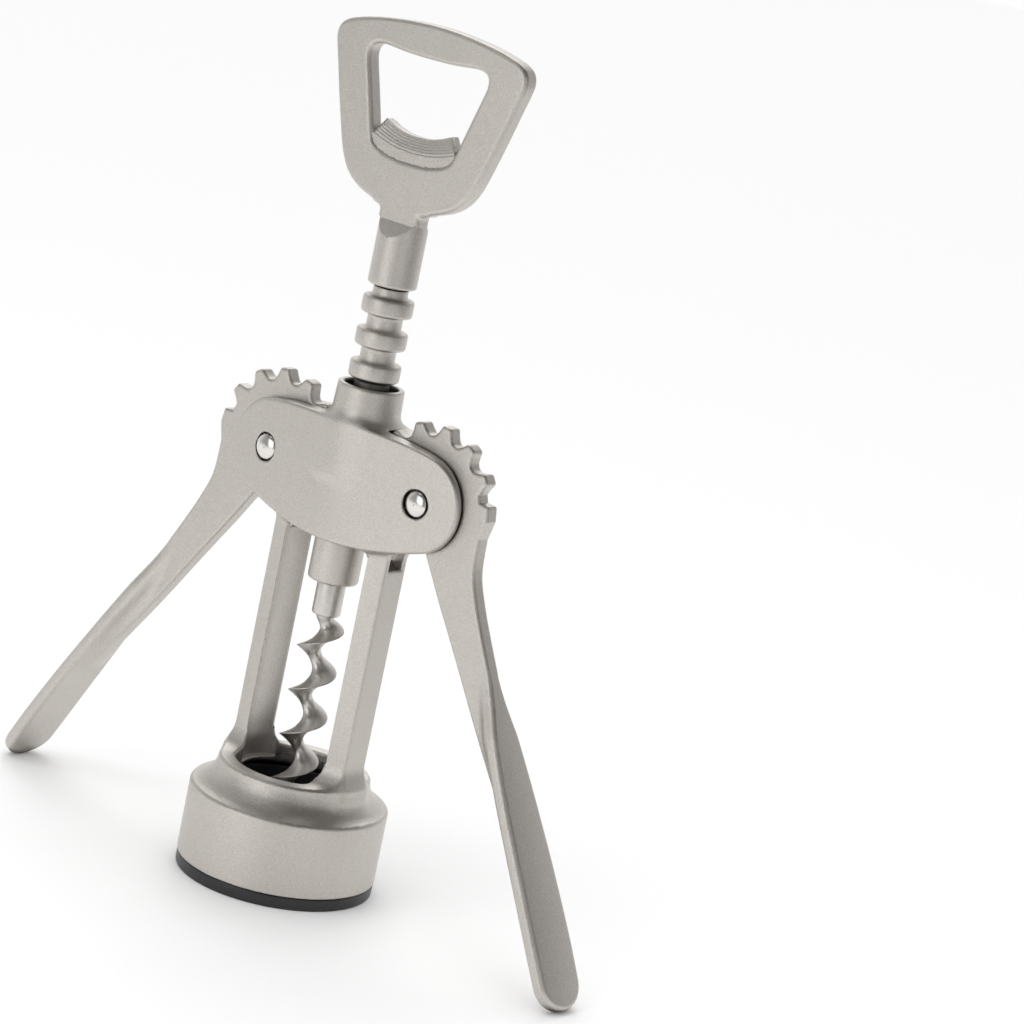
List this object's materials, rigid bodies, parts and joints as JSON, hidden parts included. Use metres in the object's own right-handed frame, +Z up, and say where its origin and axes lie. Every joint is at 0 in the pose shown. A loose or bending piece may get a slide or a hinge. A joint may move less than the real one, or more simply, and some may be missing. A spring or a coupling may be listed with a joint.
{
  "type": "twin-lever corkscrew",
  "caption": "Twin-lever corkscrew: a worm in a geared rack between two toothed lever arms, with a cap-opener handle.",
  "frame": {"origin": "middle of the bottle rest, on the surface that the corkscrew stands on", "axes": "+Z up along the spindle, +X towards the right lever, -Y towards the viewer in front of the head"},
  "size_m": [0.1652, 0.044, 0.1894],
  "materials": {
    "nickel": "satin nickel plate over zinc casting",
    "worm_metal": "satin nickel plate over steel",
    "rivet_metal": "bright nickel plate over steel",
    "black_plastic": "moulded, semi-matt"
  },
  "bodies": {
    "frame": {"body_casting": "nickel", "bottle_insert": "black_plastic", "right_pivot_rivet": "rivet_metal", "left_pivot_rivet": "rivet_metal"},
    "right_lever": {"right_lever": "nickel"},
    "left_lever": {"left_lever": "nickel"},
    "rack": {"rack_sleeve": "nickel"},
    "spindle": {"worm_and_shaft": "worm_metal", "opener_handle": "nickel"}
  },
  "joints": [
    {"name": "right_lever_hinge", "type": "hinge", "parent": "frame", "child": "right_lever", "pos_m": [0.0215, 0, 0.092], "axis": [0, -1, 0], "range_deg": [-26, 118]},
    {"name": "left_lever_hinge", "type": "hinge", "parent": "frame", "child": "left_lever", "pos_m": [-0.0215, 0, 0.092], "axis": [0, 1, 0], "range_deg": [-26, 118]},
    {"name": "rack_slide", "type": "slide", "parent": "frame", "child": "rack", "axis": [0, 0, 1], "range_m": [-0.0329, 0.0073]},
    {"name": "spindle_turn", "type": "hinge", "parent": "rack", "child": "spindle", "pos_m": [0, 0, 0.1], "axis": [0, 0, 1], "continuous": true}
  ],
  "couplings": [
    {"joint": "left_lever_hinge", "follows": "right_lever_hinge", "ratio": 1},
    {"joint": "rack_slide", "follows": "right_lever_hinge", "m_per_rad": -0.015953}
  ]
}
